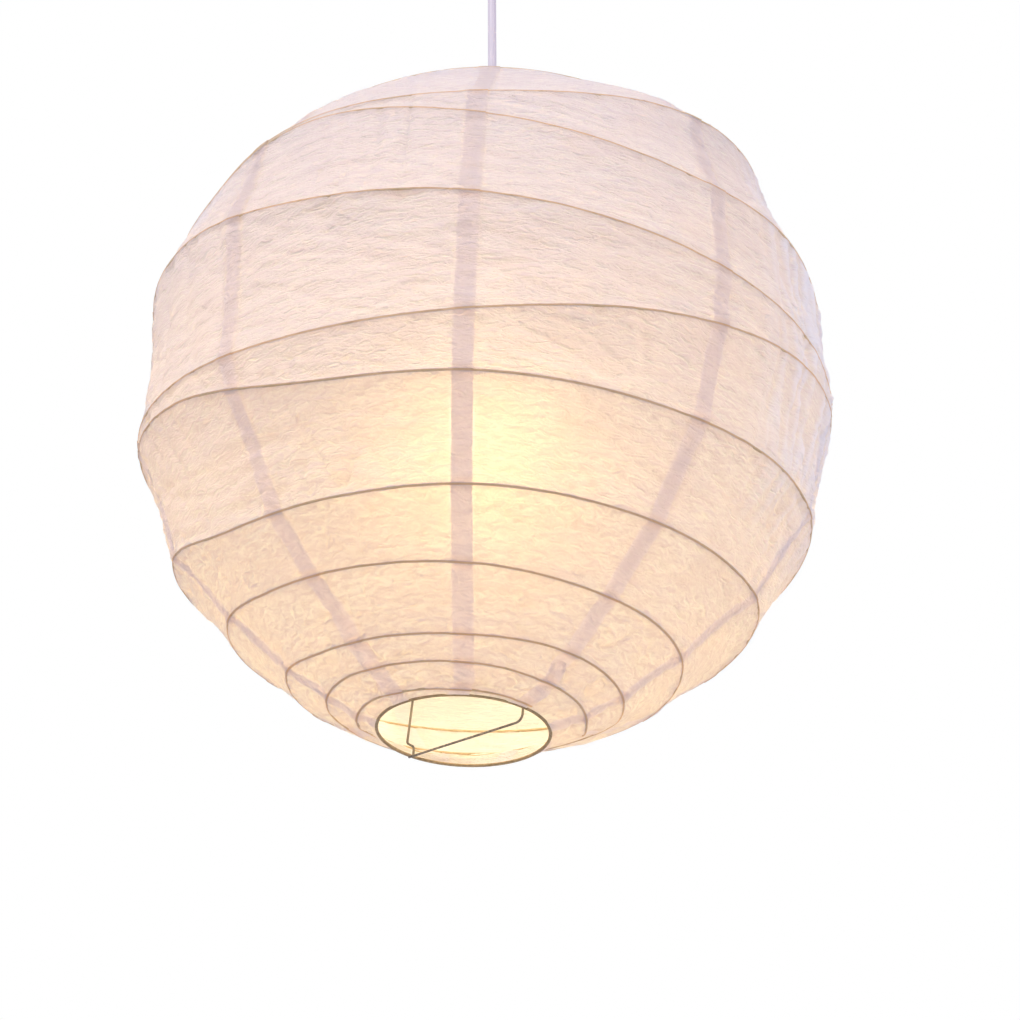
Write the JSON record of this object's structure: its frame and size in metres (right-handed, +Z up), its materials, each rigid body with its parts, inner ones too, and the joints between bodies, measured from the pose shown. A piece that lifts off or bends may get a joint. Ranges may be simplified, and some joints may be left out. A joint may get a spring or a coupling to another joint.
{
  "type": "paper lantern pendant shade",
  "caption": "Round paper lantern shade on a spiral wire rib, held open by a wire stretcher that hangs on a lampholder under a ceiling rose.",
  "frame": {"origin": "on the ceiling, in the middle of the rose's base", "axes": "+Z up, out of the room through the ceiling; -Y is the front of the shade; +X is its right"},
  "size_m": [0.4608, 0.4605, 0.7078],
  "materials": {
    "rice_paper": "thin crinkled rice paper, translucent",
    "rib_wire": "steel wire under glued tan paper",
    "ring_wire": "steel wire wrapped in tan paper",
    "stretcher_wire": "drawn steel wire, grey-brown",
    "white_plastic": "moulded white plastic",
    "terminal_plastic": "moulded ivory plastic",
    "flex_sheath": "smooth pale round flex",
    "contact_brass": "plain brass",
    "cap_metal": "plain aluminium",
    "lit_glass": "opal glass, lit warm"
  },
  "bodies": {
    "rose": {"rose_base": "white_plastic", "rose_cup": "white_plastic", "rose_terminal": "terminal_plastic"},
    "pendant": {"flex": "flex_sheath", "flex_grip": "white_plastic", "flex_gland": "white_plastic", "holder_cap": "white_plastic", "holder_body": "white_plastic", "holder_contact": "contact_brass", "shade_ring": "white_plastic"},
    "bulb": {"bulb_cap": "cap_metal", "bulb_tip": "cap_metal", "bulb_glass": "lit_glass"},
    "shade": {"stretcher": "stretcher_wire", "top_ring": "ring_wire", "gore_1": "rice_paper", "gore_2": "rice_paper", "gore_3": "rice_paper", "gore_4": "rice_paper", "gore_5": "rice_paper", "gore_6": "rice_paper", "gore_7": "rice_paper", "gore_8": "rice_paper", "gore_9": "rice_paper", "rib_wire": "rib_wire"},
    "bottom_ring": {"bottom_ring": "ring_wire"}
  },
  "joints": [
    {"name": "pendant_swing", "type": "hinge", "parent": "rose", "child": "pendant", "pos_m": [0, 0, -0.029], "axis": [1, 0, 0], "range_deg": [-15, 15]},
    {"name": "bulb_out", "type": "slide", "parent": "pendant", "child": "bulb", "axis": [0, 0, -1], "range_m": [0, 0.14]},
    {"name": "shade_turn", "type": "hinge", "parent": "pendant", "child": "shade", "pos_m": [0.015, 0, -0.43], "axis": [0, 0, 1], "continuous": true},
    {"name": "shade_fold", "type": "slide", "parent": "shade", "child": "bottom_ring", "axis": [0, 0, 1], "range_m": [0, 0.43], "deforming": ["gore_1", "gore_2", "gore_3", "gore_4", "gore_5", "gore_6", "gore_7", "gore_8", "gore_9", "rib_wire"]}
  ]
}
